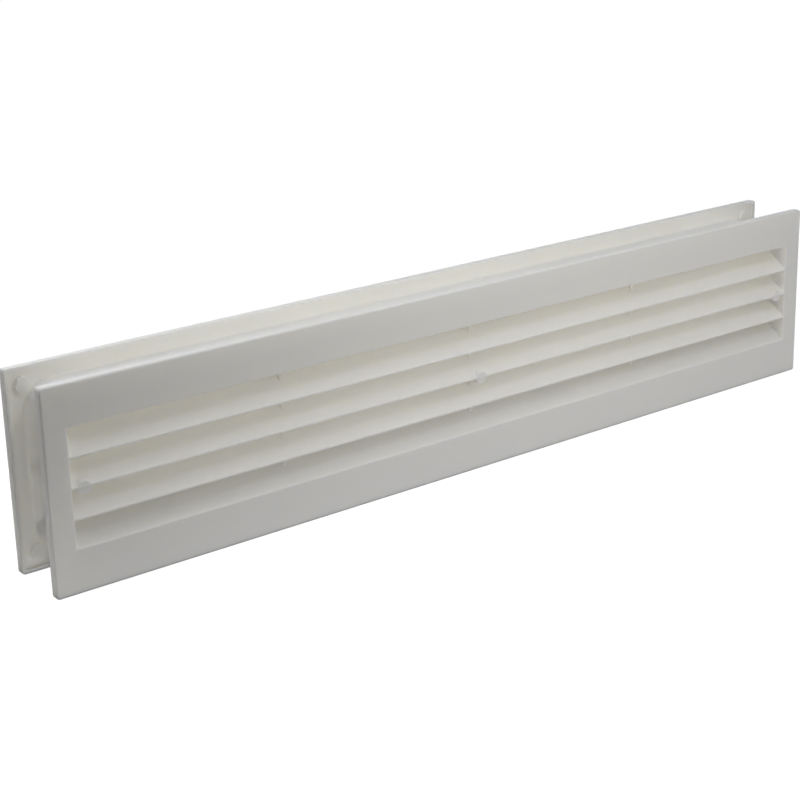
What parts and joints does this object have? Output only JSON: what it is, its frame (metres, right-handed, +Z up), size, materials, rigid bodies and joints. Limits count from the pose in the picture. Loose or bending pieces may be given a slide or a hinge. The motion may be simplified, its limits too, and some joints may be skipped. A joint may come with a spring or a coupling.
{
  "type": "door vent grille",
  "caption": "Two-part louvred door vent whose face plates clamp a door leaf and whose sleeves telescope through the cut-out, drawn together by screws.",
  "frame": {"origin": "centre of the closed vent, midway between the two outer faces", "axes": "+X along the vent, +Y from the front face to the rear face, +Z up; the front face looks along -Y"},
  "size_m": [0.457, 0.037, 0.092],
  "materials": {
    "moulded_white": "satin moulded white",
    "screw_steel": "bright zinc plated"
  },
  "bodies": {
    "rear": {"rear_grille": "moulded_white"},
    "front": {"front_grille": "moulded_white"},
    "screw_left": {"screw_left": "screw_steel"},
    "screw_centre": {"screw_centre": "screw_steel"},
    "screw_right": {"screw_right": "screw_steel"}
  },
  "joints": [
    {"name": "grille_slide", "type": "slide", "parent": "rear", "child": "front", "axis": [0, -1, 0], "range_m": [0, 0.015]},
    {"name": "screw_left_turn", "type": "hinge", "parent": "rear", "child": "screw_left", "pos_m": [-0.212, 0, 0], "axis": [0, 1, 0], "range_deg": [-5, 3865]},
    {"name": "screw_centre_turn", "type": "hinge", "parent": "rear", "child": "screw_centre", "pos_m": [0, 0, 0], "axis": [0, 1, 0], "range_deg": [-5, 3865]},
    {"name": "screw_right_turn", "type": "hinge", "parent": "rear", "child": "screw_right", "pos_m": [0.212, 0, 0], "axis": [0, 1, 0], "range_deg": [-5, 3865]}
  ],
  "couplings": [
    {"joint": "screw_left_turn", "follows": "grille_slide", "rad_per_m": 4488},
    {"joint": "screw_centre_turn", "follows": "grille_slide", "rad_per_m": 4488},
    {"joint": "screw_right_turn", "follows": "grille_slide", "rad_per_m": 4488}
  ]
}
